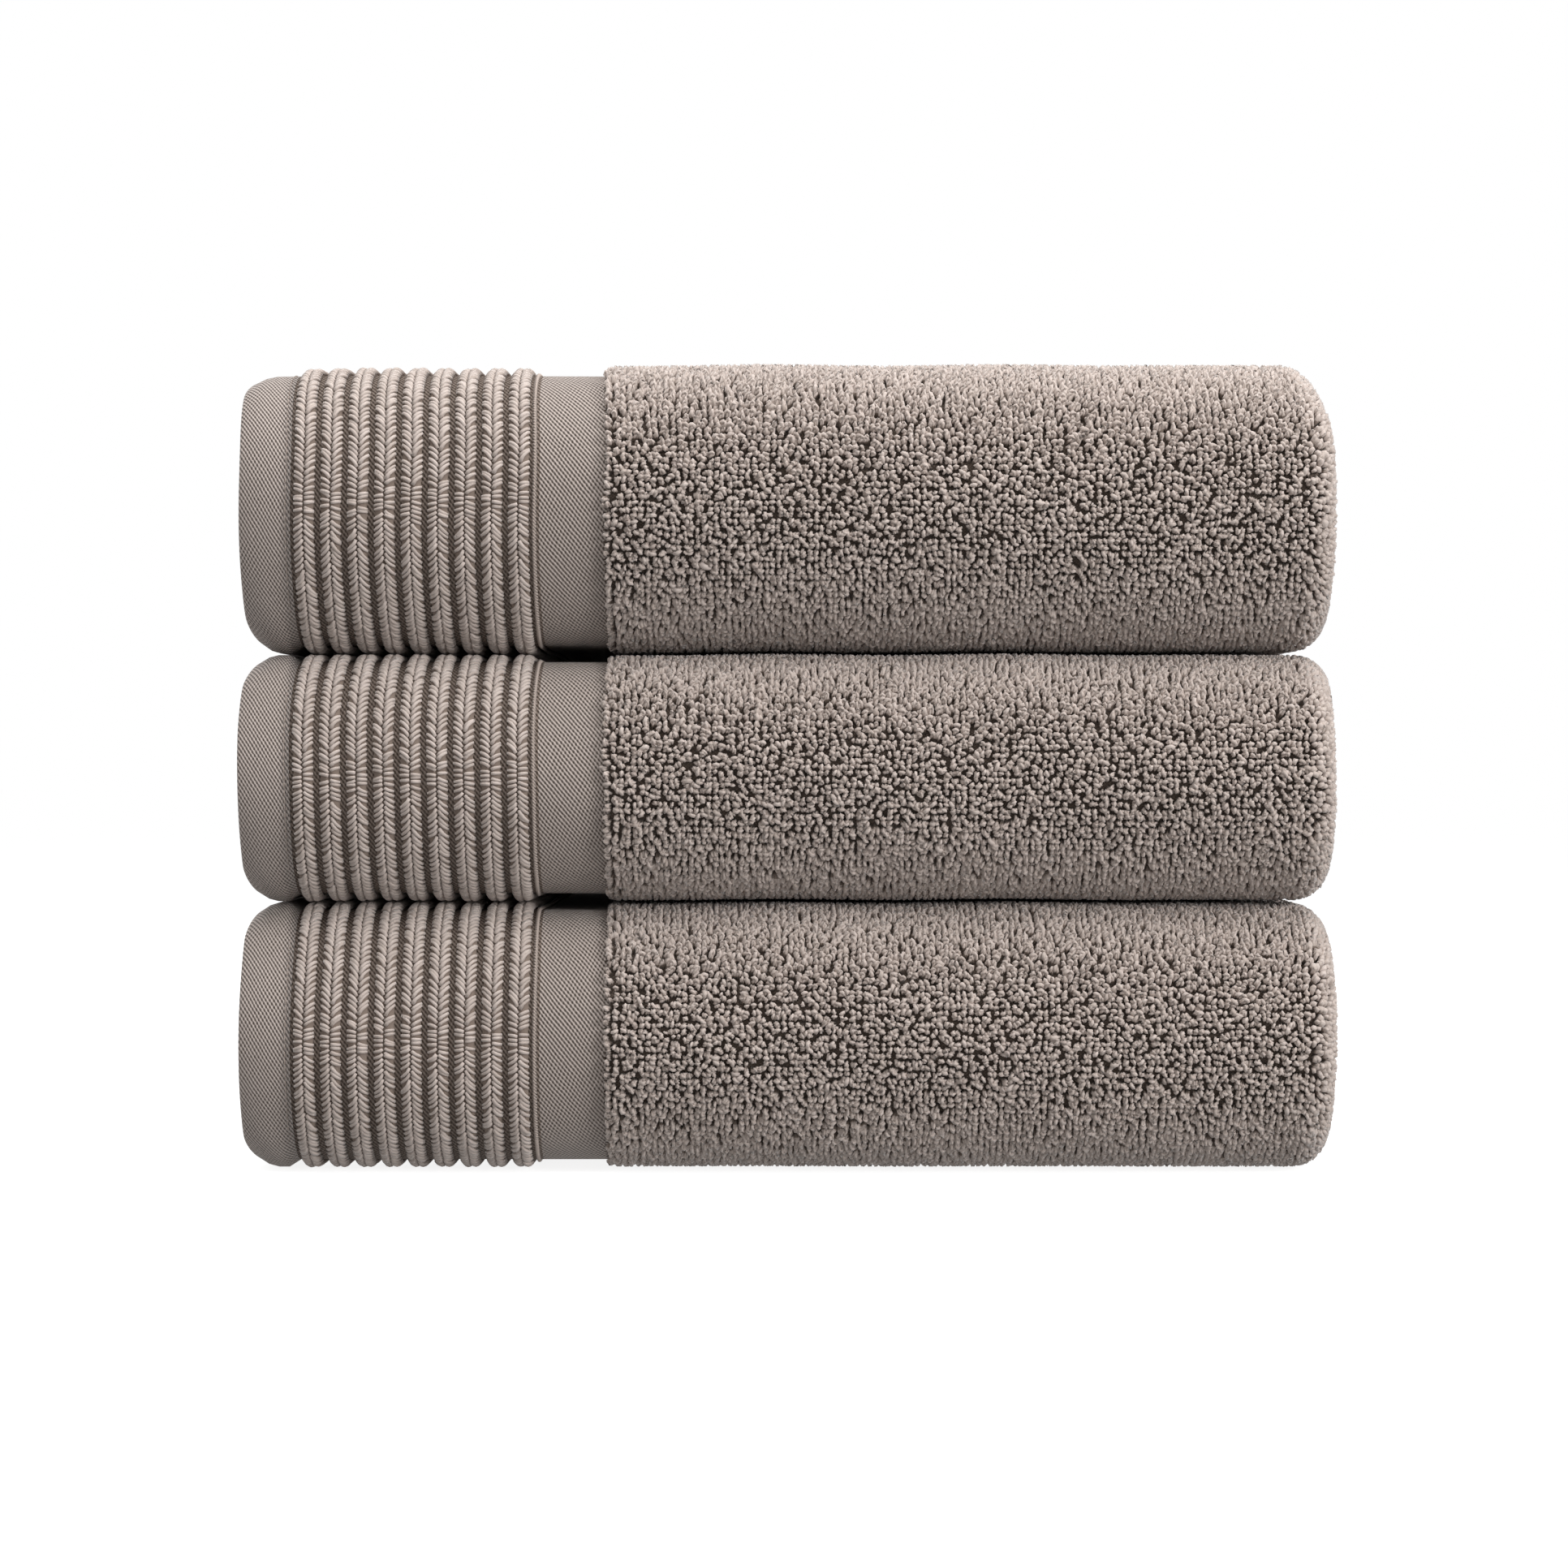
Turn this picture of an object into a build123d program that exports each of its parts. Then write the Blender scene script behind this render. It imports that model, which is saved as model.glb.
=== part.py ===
from build123d import *
import math
import os

# A set of three bath towels, folded and stacked. Millimetres, +Z up.
# Each towel is a 700 x 1400 mm terry cloth. It is folded in four along its length (X), which
# makes a strip of four layers, and the strip is then rolled up in three: over the top, round the
# front, back underneath, up at the back and forward again inside.
# The origin is at the middle of the stack's footprint, on the surface that it stands on.
# +X points to the ends where the layers turn round, -X to the hemmed ends, -Y to the rounded front.

# Driving dimensions
cloth_width = 700.0
folded_length = 350.0  # a quarter of the cloth's 1400 mm
towel_heights = {"bottom": 87.4, "middle": 81.2, "top": 95.4}
stack_gap = 0.2  # between one towel and the next
strip_gap = 0.4  # between the three thicknesses of strip
layer_gap = 0.3  # between the four layers in a strip
pile_depth = 3.9  # the loops stand this far above the flat woven border
ground_thickness = 2.2  # the border's cloth, which has no loops
hem_width = 17.0
border_width = 117.5  # from the hemmed end to the first loops
rib_count = 9
rib_pitch = 8.6
rib_width = 6.6
rib_rise = 2.4
first_rib = 21.5  # from the hemmed end to the first rib's middle
ridge_at = 95.3  # from the hemmed end to the thin ridge beside the ribs
ridge_width = 1.4
ridge_rise = 0.9
thread_inset = 1.6  # from the hem's inner edge to its row of stitching
thread_width = 0.8
thread_rise = 0.5
selvedge_width = 9.0
selvedge_thickness = 2.4
inner_setback = 3.0  # the inner end of the cloth lies this far inside the outer end
seam_gap = 0.05  # between parts of one cloth, which are woven or sewn together

layers = 4
left_end = -folded_length / 2
right_end = folded_length / 2


def strip_thickness(height):
    """Thickness of one strip: three of them and their gaps make up the towel's height."""
    return (height - 2 * strip_gap) / 3


def towel_depth(height):
    """Front to back, so that the rolled strip's middle line is as long as the cloth is wide."""
    thickness = strip_thickness(height)
    turns = math.pi * (height + strip_gap) / 2
    return (cloth_width + 1.5 * height + 2 * thickness + strip_gap - turns) / 3


stack_depth = max(towel_depth(height) for height in towel_heights.values())
front = -stack_depth / 2


class Fold:
    """Places that the parts of one folded towel share."""

    def __init__(self, base, height):
        self.height = height
        self.thickness = strip_thickness(height)
        self.layer = self.thickness / layers
        self.back = front + towel_depth(height)
        self.nose = front + height / 2  # where the straight runs meet the rounded front
        self.top_level = base + height - self.thickness / 2
        self.middle_level = base + height / 2
        self.bottom_level = base + self.thickness / 2
        # Levels in the strip's own section, where its outer face is at half its thickness
        self.outer_ground = self.thickness / 2 - pile_depth
        self.inner_ground = self.layer - seam_gap - layer_gap / 2

    def start_plane(self, y):
        """Plane across the top run: its x is along the towel, its y points out of the roll."""
        return Plane(origin=(0, y, self.top_level), x_dir=(1, 0, 0), z_dir=(0, -1, 0))

    def end_plane(self, y):
        """Plane across the innermost run, which lies with its outer face up."""
        return Plane(origin=(0, y, self.middle_level), x_dir=(1, 0, 0), z_dir=(0, -1, 0))


def roll_path(fold):
    """Middle line of the rolled strip, from behind the top edge to the inner edge."""
    turn = fold.back - fold.thickness - strip_gap / 2
    start = (0, fold.back - selvedge_width - seam_gap, fold.top_level)
    nose_top = (0, fold.nose, fold.top_level)
    nose_front = (0, front + fold.thickness / 2, fold.middle_level)
    nose_bottom = (0, fold.nose, fold.bottom_level)
    turn_bottom = (0, turn, fold.bottom_level)
    turn_reach = (fold.thickness + strip_gap) / 2
    turn_back = (0, turn + turn_reach, fold.bottom_level + turn_reach)
    turn_top = (0, turn, fold.middle_level)
    end = (0, fold.nose + selvedge_width + seam_gap, fold.middle_level)
    Line(start, nose_top)
    ThreePointArc(nose_top, nose_front, nose_bottom)
    Line(nose_bottom, turn_bottom)
    ThreePointArc(turn_bottom, turn_back, turn_top)
    Line(turn_top, end)


def folded_layers(fold, outer_start, inner_start):
    """Middle line of the four layers, as seen from the end of the strip."""
    level = fold.layer / 2
    right_turn = right_end - 2 * fold.layer + layer_gap / 2
    left_turn = left_end + fold.layer - layer_gap / 2
    right_reach = right_turn + 3 * level
    Line((outer_start, 3 * level), (right_turn, 3 * level))
    ThreePointArc((right_turn, 3 * level), (right_reach, 0), (right_turn, -3 * level))
    Line((right_turn, -3 * level), (left_turn, -3 * level))
    ThreePointArc((left_turn, -3 * level), (left_turn - level, -2 * level), (left_turn, -level))
    Line((left_turn, -level), (right_turn, -level))
    ThreePointArc((right_turn, -level), (right_turn + level, 0), (right_turn, level))
    Line((right_turn, level), (inner_start, level))


def flat_section(start, end, bottom, top):
    """Rectangle between two distances from the hemmed end and two levels."""
    with Locations((left_end + (start + end) / 2, (bottom + top) / 2)):
        Rectangle(end - start, top - bottom)


def cord_section(middle, base, width, rise):
    """Flat-bottomed cord, standing on the level base; a negative rise hangs it below."""
    edge = left_end + middle - width / 2
    other_edge = left_end + middle + width / 2
    with BuildLine() as outline:
        ThreePointArc((edge, base), (left_end + middle, base + rise), (other_edge, base))
        Line((other_edge, base), (edge, base))
    make_face(outline.edges())


def save(builder, name):
    """Labels a finished piece and writes it."""
    builder.part.label = name
    export_step(builder.part, f"parts/{name}.step")


def make_terry_cloth(towel, fold):
    """The looped cloth between the two borders, in its four layers."""
    start = left_end + border_width + seam_gap
    with BuildPart() as terry_cloth:
        with BuildLine():
            roll_path(fold)
        with BuildSketch(fold.start_plane(fold.back - selvedge_width - seam_gap)):
            with BuildLine():
                folded_layers(fold, start, start + inner_setback)
            trace(line_width=fold.layer - layer_gap)
        sweep()
    save(terry_cloth, f"{towel}_terry_cloth")


def make_strip_part(towel, name, fold, sections):
    """A part with a plain section that follows the roll from edge to edge."""
    with BuildPart() as part:
        with BuildLine():
            roll_path(fold)
        with BuildSketch(fold.start_plane(fold.back - selvedge_width - seam_gap)):
            sections()
        sweep()
    save(part, f"{towel}_{name}")


def make_outer_border(towel, fold):
    """The border on the outer end of the cloth: hem, ground cloth, ribs, ridge."""
    ground = fold.outer_ground
    hem_end = hem_width - seam_gap

    def hem():
        flat_section(0, hem_end, ground - ground_thickness, ground)

    def cloth():
        flat_section(hem_width, border_width, ground - ground_thickness, ground)

    def ridge():
        cord_section(ridge_at, ground + seam_gap, ridge_width, ridge_rise)

    make_strip_part(towel, "outer_end_hem", fold, hem)
    make_strip_part(towel, "outer_border_cloth", fold, cloth)
    make_strip_part(towel, "outer_ridge", fold, ridge)
    for number in range(rib_count):

        def rib():
            cord_section(first_rib + number * rib_pitch, ground + seam_gap, rib_width, rib_rise)

        make_strip_part(towel, f"outer_rib_{number + 1}", fold, rib)


def make_inner_border(towel, fold):
    """The same border on the other end of the cloth, face down inside the first layer."""
    ground = fold.inner_ground
    hem_start = inner_setback
    cloth_start = hem_start + hem_width

    def hem():
        flat_section(hem_start, cloth_start - seam_gap, ground - ground_thickness, ground)

    def cloth():
        flat_section(cloth_start, hem_start + border_width, ground - ground_thickness, ground)

    def ribs():
        face = ground - ground_thickness - seam_gap
        for number in range(rib_count):
            middle = hem_start + first_rib + number * rib_pitch
            cord_section(middle, face, rib_width, -rib_rise)

    make_strip_part(towel, "inner_end_hem", fold, hem)
    make_strip_part(towel, "inner_border_cloth", fold, cloth)
    make_strip_part(towel, "inner_border_ribs", fold, ribs)


def make_hem_thread(towel, fold):
    """The sewing thread of both end hems, a row on the face of each."""
    outer_face = fold.outer_ground + seam_gap
    inner_face = fold.inner_ground - ground_thickness - seam_gap

    def threads():
        cord_section(hem_width - thread_inset, outer_face, thread_width, thread_rise)
        inner_row = inner_setback + hem_width - thread_inset
        cord_section(inner_row, inner_face, thread_width, -thread_rise)

    make_strip_part(towel, "hem_thread", fold, threads)


def make_selvedges(towel, fold):
    """The long side hems: the outer one at the back of the top run, the inner one in the roll."""
    edges = {
        "outer_selvedge": fold.start_plane(fold.back),
        "inner_selvedge": fold.end_plane(fold.nose + selvedge_width),
    }
    for name, plane in edges.items():
        with BuildPart() as selvedge:
            with BuildSketch(plane):
                with BuildLine():
                    folded_layers(fold, left_end, left_end + inner_setback)
                trace(line_width=selvedge_thickness)
            extrude(amount=selvedge_width)
        save(selvedge, f"{towel}_{name}")


def make_towel(towel, base, height):
    """Every part of one towel, whose underside is at the level base."""
    fold = Fold(base, height)
    make_terry_cloth(towel, fold)
    make_outer_border(towel, fold)
    make_inner_border(towel, fold)
    make_hem_thread(towel, fold)
    make_selvedges(towel, fold)


os.makedirs("parts", exist_ok=True)
level = 0.0
for towel_name, towel_height in towel_heights.items():
    make_towel(towel_name, level, towel_height)
    level += towel_height + stack_gap
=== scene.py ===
import math

import bpy
import numpy as np
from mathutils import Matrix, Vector


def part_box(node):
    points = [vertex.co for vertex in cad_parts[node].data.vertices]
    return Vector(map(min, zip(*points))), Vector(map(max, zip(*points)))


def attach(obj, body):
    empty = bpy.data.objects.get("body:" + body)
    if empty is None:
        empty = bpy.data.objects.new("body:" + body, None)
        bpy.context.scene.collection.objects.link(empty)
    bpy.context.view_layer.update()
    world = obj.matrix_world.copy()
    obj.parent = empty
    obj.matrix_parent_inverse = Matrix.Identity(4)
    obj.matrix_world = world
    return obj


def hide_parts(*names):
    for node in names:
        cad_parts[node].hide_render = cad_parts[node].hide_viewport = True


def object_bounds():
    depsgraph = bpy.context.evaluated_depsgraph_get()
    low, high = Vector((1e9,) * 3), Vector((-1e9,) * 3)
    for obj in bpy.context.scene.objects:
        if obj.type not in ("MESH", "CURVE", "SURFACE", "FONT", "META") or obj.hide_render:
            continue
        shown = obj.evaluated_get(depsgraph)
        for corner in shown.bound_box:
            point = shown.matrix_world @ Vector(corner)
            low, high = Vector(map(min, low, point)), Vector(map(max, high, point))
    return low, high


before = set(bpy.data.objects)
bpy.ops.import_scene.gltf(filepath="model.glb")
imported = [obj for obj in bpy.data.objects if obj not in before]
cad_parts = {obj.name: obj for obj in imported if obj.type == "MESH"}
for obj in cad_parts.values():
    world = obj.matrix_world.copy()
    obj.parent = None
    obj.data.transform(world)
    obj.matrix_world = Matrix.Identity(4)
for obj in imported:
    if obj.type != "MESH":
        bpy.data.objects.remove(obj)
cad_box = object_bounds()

# Three folded bath towels, built as cloth around the CAD frame. Metres, in the CAD's own axes.
# Every piece is made flat, in the cloth's own measures, and then folded by the class Fold.

MM = 0.001
TOWELS = ("bottom", "middle", "top")
LAYERS = 4

# The CAD's clearances
STRIP_GAP = 0.4 * MM
LAYER_GAP = 0.3 * MM

# The cloth
FREE_PILE = 3.9 * MM  # how far loops stand above the ground cloth where nothing presses them
PRESSED_PILE = 2.7 * MM  # and where a towel rests on them
GROUND_THICKNESS = 2.2 * MM
HEM_THICKNESS = 2.4 * MM
SELVEDGE_WIDTH = 9 * MM
TURN_REACH = 7 * MM  # how far the middle of the cloth goes round at the folded end
NOSE_REACH = 0.62  # the rounded front is flattened to this share of a half circle
LEFT_TURN_INSET = 3.5 * MM
EDGE_DROOP = 0.3  # share of its thickness that the strip loses at its hemmed end
EDGE_DROOP_REACH = 9 * MM
FOLD_BULGE = 4.5 * MM  # how far the folded ends bulge past the CAD's

# The ribs, and the strands that they are braided from
RIB_COUNT = 9
RIB_HALF = 3.4 * MM
RIB_RISE = 2.9 * MM
CREASE_HALF = 0.42 * MM
CREASE_DEPTH = 1.0 * MM
STRAND_PITCH = 1.9 * MM
STRAND_RADIUS = 0.66 * MM
STRAND_SLANT = 3.9 * MM
STRAND_POINTS = 5
STITCH_POINTS = 5

# The loops
LOOP_PITCH = 2.0 * MM
LOOP_HALF_WIDTH = 0.68 * MM
LOOP_JITTER = 0.15  # how far a loop stands off its place, as a share of the pitch
LOOP_SIZE_SPREAD = 0.16
LOOP_LEAN = 1.4  # steepest slope of the loops away from the rounded front's foremost line
PILE_EDGE = 4.5 * MM  # the stretch beside the border where loops are shorter and lean over it
YARN_RADIUS = 0.86 * MM
PLY_RADIUS = 0.68  # of the yarn's, where a loop is drawn as two plies
PLY_OFFSET = 0.52
PLY_TURNS = 1.1  # the plies turn round each other so often from foot to foot
TUBE_SIDES = 4


def smooth_step(t):
    t = np.clip(t, 0, 1)
    return t * t * (3 - 2 * t)


class Track:
    """A line in a plane, with the direction that points out of it, looked up by distance."""

    def __init__(self, parts, level=0.0):
        self.points = np.concatenate([points for points, _ in parts])
        self.normals = np.concatenate([normals for _, normals in parts])
        measured = self.points + level * self.normals
        steps = np.linalg.norm(np.diff(measured, axis=0), axis=1)
        self.distance = np.concatenate([[0], np.cumsum(steps)])
        ends = np.cumsum([len(points) for points, _ in parts]) - 1
        self.ends = self.distance[ends]

    def at(self, distance):
        point = [np.interp(distance, self.distance, self.points[:, k]) for k in (0, 1)]
        normal = [np.interp(distance, self.distance, self.normals[:, k]) for k in (0, 1)]
        size = np.hypot(*normal)
        return point, [normal[0] / size, normal[1] / size]


def straight(start, end, normal):
    return np.array([start, end], float), np.array([normal, normal], float)


def half_turn(centre, reach, start, end, inward=False):
    """Half an ellipse between two angles, in degrees from the plane's first axis."""
    angle = np.radians(np.linspace(start, end, 90))
    around = np.stack([np.cos(angle), np.sin(angle)], axis=1)
    normals = around / np.array(reach)
    normals /= np.linalg.norm(normals, axis=1, keepdims=True)
    return np.array(centre) + around * np.array(reach), -normals if inward else normals


def waves(a, b, seed):
    """Smooth unevenness between about -1 and 1, over two coordinates in metres."""
    rng = np.random.default_rng(seed)
    total = 0
    for length in (0.21, 0.13, 0.083, 0.051):
        turn, phase = rng.uniform(0, 2 * math.pi, 2)
        along = a * math.cos(turn) + b * math.sin(turn)
        total = total + np.sin(2 * math.pi * along / length + phase)
    return total / 4


class Fold:
    """How one towel is folded. q runs along the cloth from its outer end, through the four
    layers of the strip. s runs across it from the outer selvedge, along the face of the rolled
    strip. w is the height above a layer's middle, on the side that is outside on the first."""

    def __init__(self, towel):
        self.towel = towel
        low, high = (np.array(corner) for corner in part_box(f"{towel}_terry_cloth"))
        self.base = low[2] - LAYER_GAP / 2
        self.height = high[2] - low[2] + LAYER_GAP
        self.strip = (self.height - 2 * STRIP_GAP) / 3
        self.layer = self.strip / LAYERS
        self.left, self.right = low[0], high[0]
        self.front = low[1] - LAYER_GAP / 2
        self.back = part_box(f"{towel}_outer_selvedge")[1][1]
        self.hem_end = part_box(f"{towel}_outer_end_hem")[1][0] - self.left
        self.border_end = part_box(f"{towel}_outer_border_cloth")[1][0] - self.left
        self.inner_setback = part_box(f"{towel}_inner_end_hem")[0][0] - self.left
        self.section = self._section()
        self.roll = self._roll()
        self.length = self.section.ends[-1]
        self.width = self.roll.ends[-1]
        self.turn_starts, self.turn_ends = self.section.ends[0], self.section.ends[1]
        self.left_turn = self.section.ends[2], self.section.ends[3]

    def _section(self):
        """The cloth's way through the four layers, across the strip."""
        t = self.layer
        outer_turn = np.array([TURN_REACH, 1.5 * t])
        inner_turn = np.array([0.5 * t, 0.5 * t])
        left_turn = np.array([0.5 * t, 0.5 * t])
        right_end = self.right + FOLD_BULGE - (t - LAYER_GAP) / 2
        right = right_end - outer_turn[0]
        inner_right = right_end - t - inner_turn[0]
        left = self.left + t - LAYER_GAP / 2 + LEFT_TURN_INSET
        return Track(
            [
                straight((self.left, 1.5 * t), (right, 1.5 * t), (0, 1)),
                half_turn((right, 0), outer_turn, 90, -90),
                straight((right, -1.5 * t), (left, -1.5 * t), (0, -1)),
                half_turn((left, -t), left_turn, -90, -270),
                straight((left, -0.5 * t), (inner_right, -0.5 * t), (0, 1)),
                half_turn((inner_right, 0), inner_turn, -90, 90, inward=True),
                straight(
                    (inner_right, 0.5 * t), (self.left + self.inner_setback, 0.5 * t), (0, -1)
                ),
            ]
        )

    def _roll(self):
        """The strip's way over the top, round the front, back underneath and forward inside."""
        half = self.strip / 2
        nose_rise = self.height / 2 - half
        nose_reach = NOSE_REACH * nose_rise
        nose = self.front + half + nose_reach
        turn = self.back - self.strip - STRIP_GAP / 2
        turn_reach = (self.strip + STRIP_GAP) / 2
        top = self.base + self.height - half
        middle = self.base + self.height / 2
        bottom = self.base + half
        return Track(
            [
                straight((self.back, top), (nose, top), (0, 1)),
                half_turn((nose, middle), (nose_reach, nose_rise), 90, 270),
                straight((nose, bottom), (turn, bottom), (0, -1)),
                half_turn((turn, bottom + turn_reach), (turn_reach, turn_reach), -90, 90),
                straight((turn, middle), (nose, middle), (0, 1)),
            ],
            level=half,
        )

    def pile_depth(self, s):
        """Height of the loops above the ground cloth on the outer face: less where pressed."""
        over_top, front_end, under_end, back_end, _ = self.roll.ends
        free_top = FREE_PILE if self.towel == "top" else PRESSED_PILE
        nose = front_end - over_top
        turn = back_end - under_end
        places = [over_top, over_top + 0.3 * nose, over_top + 0.7 * nose, front_end]
        places += [under_end, under_end + 0.3 * turn, back_end - 0.2 * turn, back_end]
        depths = [free_top, FREE_PILE, FREE_PILE, PRESSED_PILE]
        depths += [PRESSED_PILE, FREE_PILE, FREE_PILE, PRESSED_PILE]
        return np.interp(s, places, depths)

    def away_from_front(self, s):
        """How far loops lean away from the foremost line of the rounded front, as a slope."""
        over_top, front_end = self.roll.ends[:2]
        middle = (over_top + front_end) / 2
        reach = np.clip((s - middle) / (front_end - over_top) * 2, -1, 1)
        return LOOP_LEAN * np.sign(reach) * smooth_step(np.abs(reach))

    def outer_ground(self, s):
        """Level of the ground cloth's face on the first layer."""
        return self.layer / 2 - self.pile_depth(s)

    def frame_at(self, q, s, w):
        """Place of a point on the cloth, and the directions of growing q, s and w there."""
        (x, v), (nx, nv) = self.section.at(q)
        (y, z), (ny, nz) = self.roll.at(s)
        x = x + w * nx
        v = v + w * nv
        edge = 1 - np.clip((x - self.left) / EDGE_DROOP_REACH, 0, 1)
        v = v * (1 - EDGE_DROOP * (0.5 + 0.5 * nz * nz) * edge * edge)
        y, z = y + v * ny, z + v * nz
        x = self.round_ends(x, z)
        place = np.stack(np.broadcast_arrays(x, y, z), axis=-1)
        along = np.stack(np.broadcast_arrays(nv, -nx * ny, -nx * nz), axis=-1)
        across = np.stack(np.broadcast_arrays(0 * nv, -nz, ny), axis=-1)
        out = np.stack(np.broadcast_arrays(nx, nv * ny, nv * nz), axis=-1)
        return uneven(place), along, across, out

    def round_ends(self, x, z):
        """Draws the strip's ends in towards the top and the underside of the towel."""
        from_top = self.base + self.height - z
        below = np.minimum(z - self.base, from_top)
        right_inset = 1.0 * MM * (1 - smooth_step(below / (10 * MM)))
        if self.towel == "top":
            right_inset = right_inset + 4 * MM * (1 - smooth_step(from_top / (28 * MM)))
        left_inset = 2.2 * MM * (1 - smooth_step(below / (12 * MM)))
        to_right = smooth_step(1 - (self.right - x) / (50 * MM))
        to_left = smooth_step(1 - (x - self.left) / (14 * MM))
        return x - right_inset * to_right + left_inset * to_left

    def place(self, q, s, w):
        """Where a point of the cloth is, once folded."""
        return self.frame_at(q, s, w)[0]


def uneven(place):
    """Hand-folded unevenness, the same all through the stack, and none on the ground."""
    x, y, z = np.moveaxis(place, -1, 0)
    rise = z / cad_box[1][2]
    moved = [
        x + 0.9 * MM * waves(z, y, 11) * rise,
        y + 1.1 * MM * waves(x, z, 12),
        z + 0.5 * MM * waves(x, y, 13) * smooth_step(3 * rise),
    ]
    return np.stack(moved, axis=-1)


# Meshes


def new_piece(name, points, quads, cloth=None, tones=None):
    """A smooth mesh object. cloth gives each point's q and s, for the weave in its material."""
    mesh = bpy.data.meshes.new(name)
    mesh.vertices.add(len(points))
    mesh.vertices.foreach_set("co", np.ascontiguousarray(points, np.float32).ravel())
    corners = np.ascontiguousarray(quads, np.int32).ravel()
    mesh.loops.add(len(corners))
    mesh.loops.foreach_set("vertex_index", corners)
    mesh.polygons.add(len(quads))
    mesh.polygons.foreach_set("loop_start", np.arange(0, len(corners), 4, dtype=np.int32))
    if tones is not None:
        mesh.polygons.foreach_set("material_index", np.ascontiguousarray(tones, np.int32))
    mesh.update(calc_edges=True)
    mesh.shade_smooth()
    if cloth is not None:
        layer = mesh.uv_layers.new(name="cloth")
        layer.data.foreach_set("uv", np.ascontiguousarray(cloth[corners], np.float32).ravel())
    piece = bpy.data.objects.new(name, mesh)
    bpy.context.scene.collection.objects.link(piece)
    return piece


def grid_quads(rows, columns):
    """Quads of a grid of points, numbered row by row."""
    first = (np.arange(rows - 1)[:, None] * columns + np.arange(columns - 1)[None, :]).ravel()
    return np.stack([first, first + columns, first + columns + 1, first + 1], axis=1)


def slab(fold, name, q, s, face, back):
    """A closed sheet over the lines q and s of the cloth, between two levels of w."""
    q_grid, s_grid = np.meshgrid(q, s)
    top = fold.place(q_grid, s_grid, face(q_grid, s_grid)).reshape(-1, 3)
    under = fold.place(q_grid, s_grid, back(q_grid, s_grid)).reshape(-1, 3)
    rows, columns = q_grid.shape
    number = np.arange(rows * columns).reshape(rows, columns)
    rim = np.concatenate([number[0], number[1:, -1], number[-1, -2::-1], number[-2:0:-1, 0]])
    following = np.roll(rim, -1)
    total = rows * columns
    quads = grid_quads(rows, columns)
    sides = np.stack([rim, following, following + total, rim + total], axis=1)
    quads = np.concatenate([quads, quads[:, ::-1] + total, sides[:, ::-1]])
    cloth = np.stack([q_grid.ravel(), s_grid.ravel()], axis=1)
    return new_piece(name, np.concatenate([top, under]), quads, np.concatenate([cloth, cloth]))


def tube_quads(count, points):
    """Quads of many closed four-sided tubes of the same make."""
    ring = np.arange(TUBE_SIDES)
    following = (ring + 1) % TUBE_SIDES
    lengths = np.arange(points - 1)[:, None] * TUBE_SIDES
    wall = np.stack(
        [
            lengths + ring[None, :],
            lengths + following[None, :],
            lengths + TUBE_SIDES + following[None, :],
            lengths + TUBE_SIDES + ring[None, :],
        ],
        axis=-1,
    ).reshape(-1, 4)
    last = (points - 1) * TUBE_SIDES
    one = np.concatenate([wall, [last + ring, ring[::-1]]])
    step = points * TUBE_SIDES
    return (np.arange(count)[:, None, None] * step + one[None]).reshape(-1, 4), len(one)


def tubes(line, radius, side_way, plies=1):
    """Points of tubes round lines of shape (count, points, 3). side_way is a rough sideways
    direction of each, which fixes how its rings turn. With two plies, each line gets two thinner
    tubes that turn round each other."""
    tangent = np.gradient(line, axis=1)
    tangent /= np.linalg.norm(tangent, axis=2, keepdims=True) + 1e-12
    first = np.cross(tangent, side_way)
    first /= np.linalg.norm(first, axis=2, keepdims=True) + 1e-12
    second = np.cross(tangent, first)
    angle = 2 * math.pi * (np.arange(TUBE_SIDES) + 0.5) / TUBE_SIDES
    spread = first[:, :, None] * np.cos(angle)[:, None]
    spread = spread + second[:, :, None] * np.sin(angle)[:, None]
    if plies == 1:
        return (line[:, :, None] + radius[:, :, None, None] * spread).reshape(-1, 3)
    turned = 2 * math.pi * PLY_TURNS * np.linspace(-0.5, 0.5, line.shape[1])[None, :, None]
    away = first * np.cos(turned) + second * np.sin(turned)
    away = PLY_OFFSET * radius[:, :, None] * away
    ring = PLY_RADIUS * radius[:, :, None, None] * spread
    pair = [(line + turn * away)[:, :, None] + ring for turn in (1, -1)]
    return np.stack(pair, axis=1).reshape(-1, 3)


# Materials

TAUPE = (0.495, 0.421, 0.380)  # linear colour of the dyed cotton
DEEPENING = (1.0, 1.1, 1.2)  # darker shades of it, mostly painted shade, are warmer too
PILE_TONES = (0.90, 1.0, 1.08, 1.0)
RIB_TONES = (0.92, 1.0, 1.06, 0.96)
# Painted shade: the yarn by the loops' feet is darker, where shade falls between the loops
ROOT_PAINTED_SHADE = 0.5
# Painted shade: the ribs' cores, under and between the strands, are darker
CORE_PAINTED_SHADE = 0.45
TONES = len(PILE_TONES)
PAINTED_SHADE_SLOT = TONES  # the slot of the yarn with painted shade, near a loop's feet or inside a rib


def shade(factor):
    """The cotton's colour, made lighter or darker."""
    return (*(min(part * factor**power, 1) for part, power in zip(TAUPE, DEEPENING)), 1)


def cotton(name, factor, sheen=0.35):
    """Plain dyed cotton yarn: rough, with the soft sheen of fine fibres."""
    material = bpy.data.materials.new(name)
    material.use_nodes = True
    shader = material.node_tree.nodes["Principled BSDF"]
    shader.inputs["Base Color"].default_value = shade(factor)
    shader.inputs["Roughness"].default_value = 0.92
    shader.inputs["Specular IOR Level"].default_value = 0.25
    shader.inputs["Sheen Weight"].default_value = sheen
    shader.inputs["Sheen Roughness"].default_value = 0.45
    shader.inputs["Sheen Tint"].default_value = (1.0, 0.97, 0.95, 1)
    return material


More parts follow.
